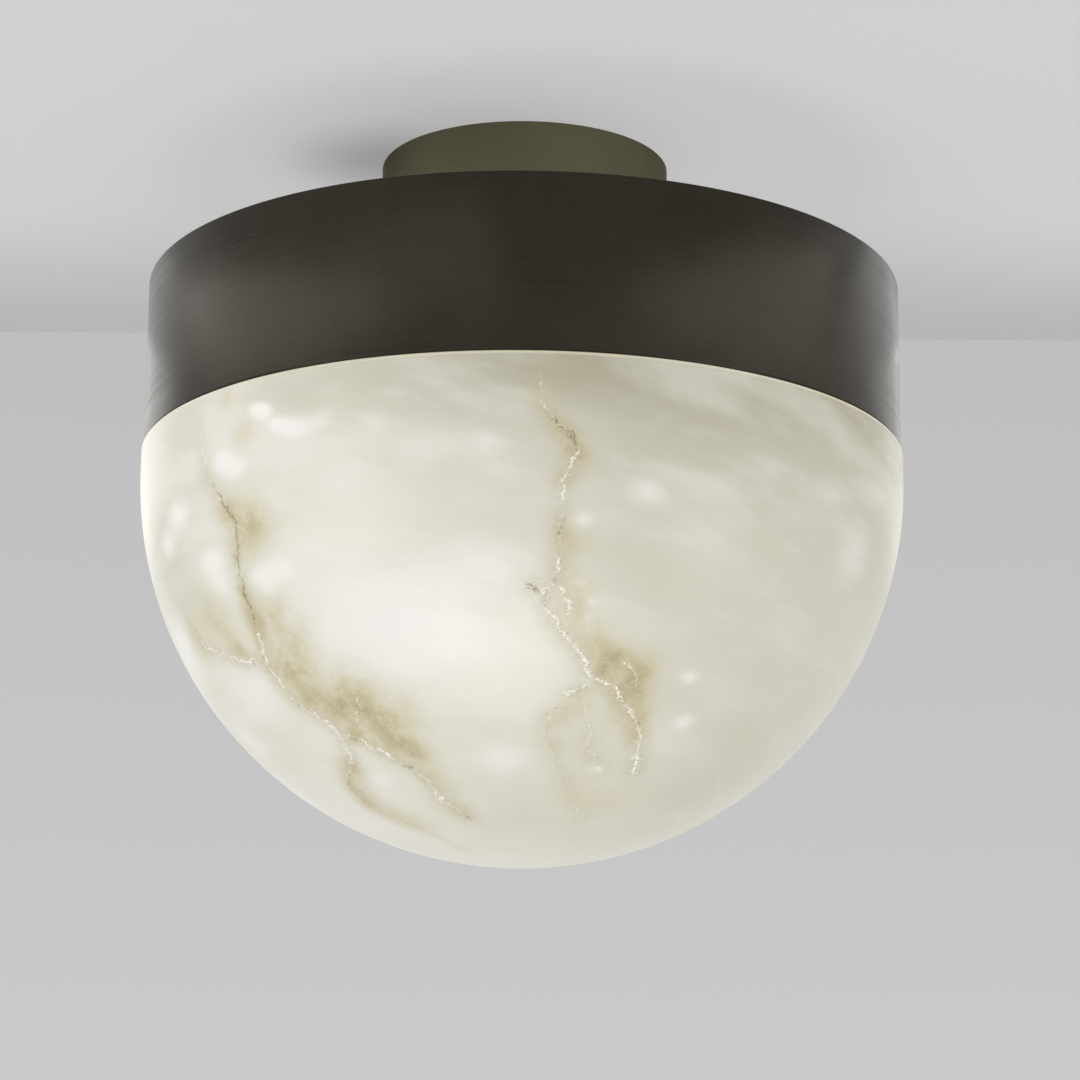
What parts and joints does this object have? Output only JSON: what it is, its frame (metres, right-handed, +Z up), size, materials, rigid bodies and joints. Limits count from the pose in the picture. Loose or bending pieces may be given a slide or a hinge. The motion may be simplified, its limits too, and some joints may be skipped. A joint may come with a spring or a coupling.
{
  "type": "flush ceiling light",
  "caption": "Flush ceiling light: a round canopy and a wide bronze drum over a deep veined alabaster bowl that twists off for changing bulbs.",
  "frame": {"origin": "on the ceiling plane, midway between the bracket's two screw slots, on the light's vertical axis", "axes": "+Z up into the ceiling, +X along the bracket through its screw slots, and -Y towards the viewer of the picture; the light hangs down along -Z"},
  "size_m": [0.322, 0.322, 0.3029],
  "materials": {
    "drum_bronze": "satin dark bronze patina",
    "canopy_bronze": "satin olive bronze patina",
    "zinc_steel": "zinc plated",
    "plain_brass": "bright",
    "white_enamel": "satin white enamel",
    "white_plastic": "satin",
    "black_plastic": "satin",
    "white_ceramic": "matt",
    "black_glass": "gloss",
    "opal_glass": "matt opal",
    "brown_wire": "satin",
    "blue_wire": "satin",
    "earth_wire_sleeve": "satin",
    "black_rubber": "matt",
    "grey_adhesive": "matt",
    "alabaster": "honed and waxed, with pale veins and brown stains"
  },
  "bodies": {
    "fixture": {"ceiling_bracket": "zinc_steel", "bracket_earth_screw": "plain_brass", "threaded_tube": "zinc_steel", "tube_lock_nuts": "zinc_steel", "canopy": "canopy_bronze", "drum_shell": "drum_bronze", "load_plate": "zinc_steel", "spring_washer": "zinc_steel", "drum_nut": "plain_brass", "tube_bush": "black_plastic", "bayonet_ring": "zinc_steel", "bayonet_stops": "zinc_steel", "tray_studs": "zinc_steel", "tray_spacers": "zinc_steel", "gear_tray": "white_enamel", "tray_washers": "zinc_steel", "tray_nuts": "zinc_steel", "terminal_block": "white_plastic", "terminal_screws": "plain_brass", "cable_clamp": "white_plastic", "cable_clamp_screws": "zinc_steel", "tray_earth_screw": "plain_brass", "live_wires": "brown_wire", "neutral_wires": "blue_wire", "earth_wire": "earth_wire_sleeve", "holder_nipples": "zinc_steel", "holder_nuts": "zinc_steel", "holder_tongues": "plain_brass", "holder_1_cap": "white_plastic", "holder_1_insert": "white_ceramic", "holder_1_shell": "plain_brass", "holder_1_skirt": "white_plastic", "holder_2_cap": "white_plastic", "holder_2_insert": "white_ceramic", "holder_2_shell": "plain_brass", "holder_2_skirt": "white_plastic", "holder_3_cap": "white_plastic", "holder_3_insert": "white_ceramic", "holder_3_shell": "plain_brass", "holder_3_skirt": "white_plastic"},
    "bowl": {"alabaster_bowl": "alabaster", "bowl_collar": "plain_brass", "collar_bond": "grey_adhesive", "bayonet_lugs": "zinc_steel", "lug_rivets": "zinc_steel", "rim_seal": "black_rubber"},
    "bulb_1": {"bulb_1_cap": "zinc_steel", "bulb_1_contact": "black_glass", "bulb_1_housing": "white_plastic", "bulb_1_globe": "opal_glass"},
    "bulb_2": {"bulb_2_cap": "zinc_steel", "bulb_2_contact": "black_glass", "bulb_2_housing": "white_plastic", "bulb_2_globe": "opal_glass"},
    "bulb_3": {"bulb_3_cap": "zinc_steel", "bulb_3_contact": "black_glass", "bulb_3_housing": "white_plastic", "bulb_3_globe": "opal_glass"}
  },
  "joints": [
    {"name": "bowl_twist", "type": "hinge", "parent": "fixture", "child": "bowl", "pos_m": [0, 0, -0.131], "axis": [0, 0, -1], "range_deg": [0, 30]},
    {"name": "bulb_1_turn", "type": "hinge", "parent": "fixture", "child": "bulb_1", "pos_m": [0.0433, 0.025, -0.1289], "axis": [0, 0, -1], "range_deg": [0, 1440]},
    {"name": "bulb_2_turn", "type": "hinge", "parent": "fixture", "child": "bulb_2", "pos_m": [-0.0433, 0.025, -0.1289], "axis": [0, 0, -1], "range_deg": [0, 1440]},
    {"name": "bulb_3_turn", "type": "hinge", "parent": "fixture", "child": "bulb_3", "pos_m": [0, -0.05, -0.1289], "axis": [0, 0, -1], "range_deg": [0, 1440]}
  ]
}
